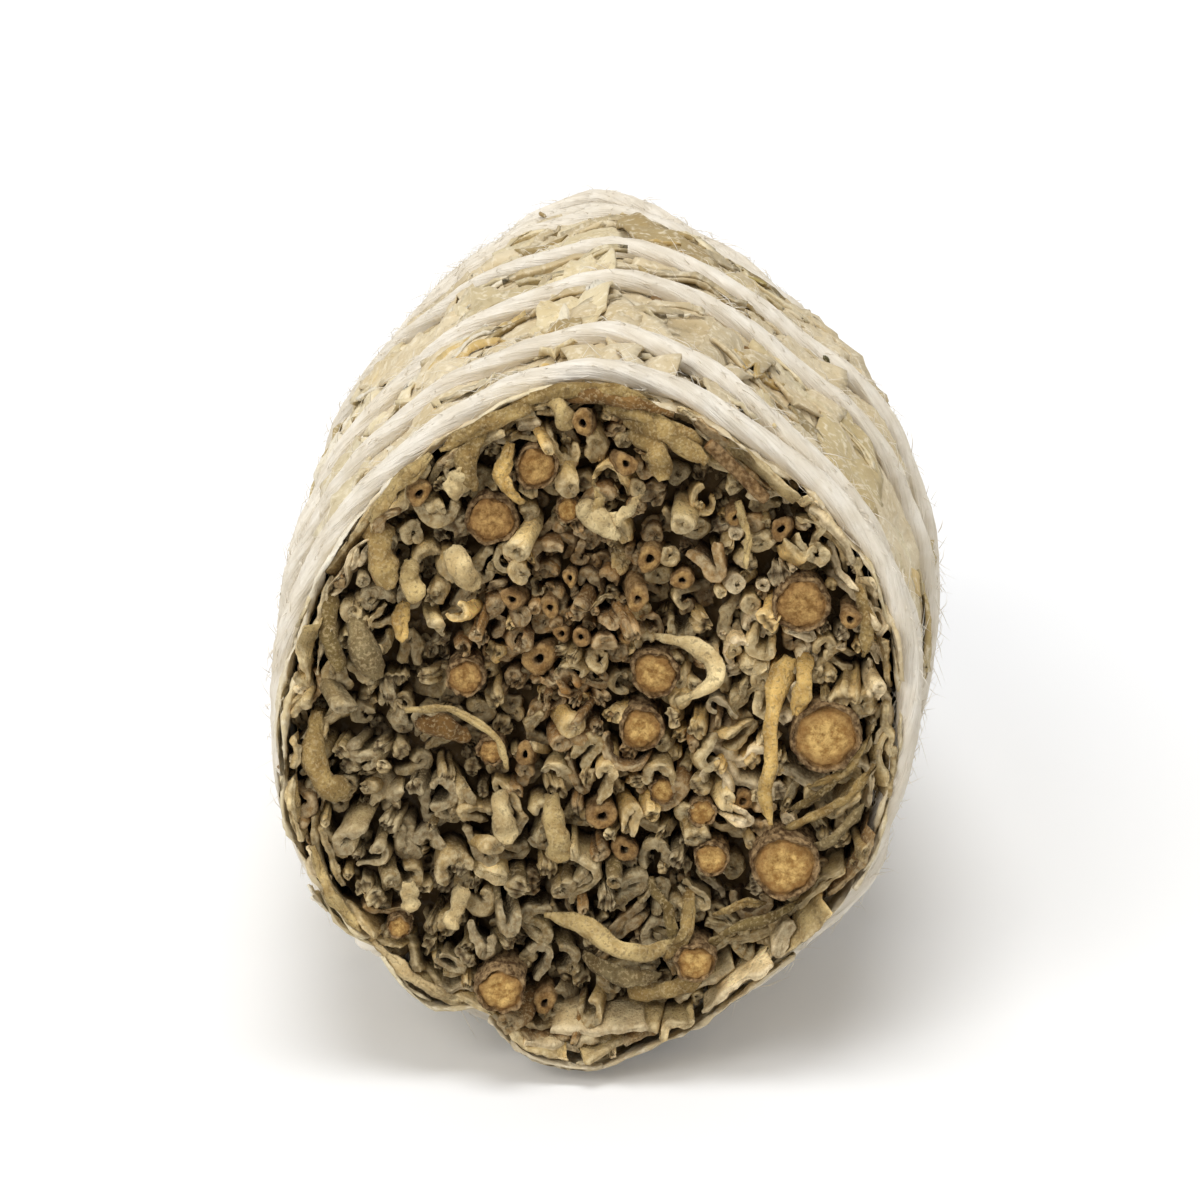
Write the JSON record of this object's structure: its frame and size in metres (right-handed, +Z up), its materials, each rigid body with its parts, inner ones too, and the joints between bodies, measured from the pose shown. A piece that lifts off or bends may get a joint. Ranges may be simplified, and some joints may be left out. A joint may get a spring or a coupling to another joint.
{
  "type": "smudge stick",
  "caption": "Bundle of dried white sage, cut flat at the stem end and wound with soft cotton twine; it lies on its side.",
  "frame": {"origin": "middle of the underside of the bundle's box", "axes": "+Y along the bundle from the cut stems to the leaf tips, +Z up"},
  "size_m": [0.0462, 0.1018, 0.0481],
  "materials": {
    "sage_leaf": "matt, dry, pebbled",
    "curled_leaf": "matt, felted",
    "stem_wood": "matt pith with flaky bark",
    "cotton_twine": "soft, fluffy"
  },
  "bodies": {
    "root": {"packed_leaves": "curled_leaf", "twine": "cotton_twine", "knot": "cotton_twine", "twig": "stem_wood", "stem_01": "stem_wood", "stem_02": "stem_wood", "stem_03": "stem_wood", "stem_04": "stem_wood", "stem_05": "stem_wood", "stem_06": "stem_wood", "stem_07": "stem_wood", "stem_08": "stem_wood", "stem_09": "stem_wood", "stem_10": "stem_wood", "stem_11": "stem_wood", "stem_12": "stem_wood", "stem_13": "stem_wood", "stem_14": "stem_wood", "stem_15": "stem_wood", "stem_16": "stem_wood", "cut_leaf_01": "sage_leaf", "cut_leaf_02": "sage_leaf", "cut_leaf_03": "sage_leaf", "cut_leaf_04": "sage_leaf", "cut_leaf_05": "sage_leaf", "cut_leaf_06": "sage_leaf", "cut_leaf_07": "sage_leaf", "cut_leaf_08": "sage_leaf", "cut_leaf_09": "sage_leaf", "tip_leaf_01": "sage_leaf", "tip_leaf_02": "sage_leaf", "tip_leaf_03": "sage_leaf", "tip_leaf_04": "sage_leaf", "tip_leaf_05": "sage_leaf", "tip_leaf_06": "sage_leaf", "tip_leaf_07": "sage_leaf", "tip_leaf_08": "sage_leaf", "tip_leaf_09": "sage_leaf"}
  },
  "joints": []
}
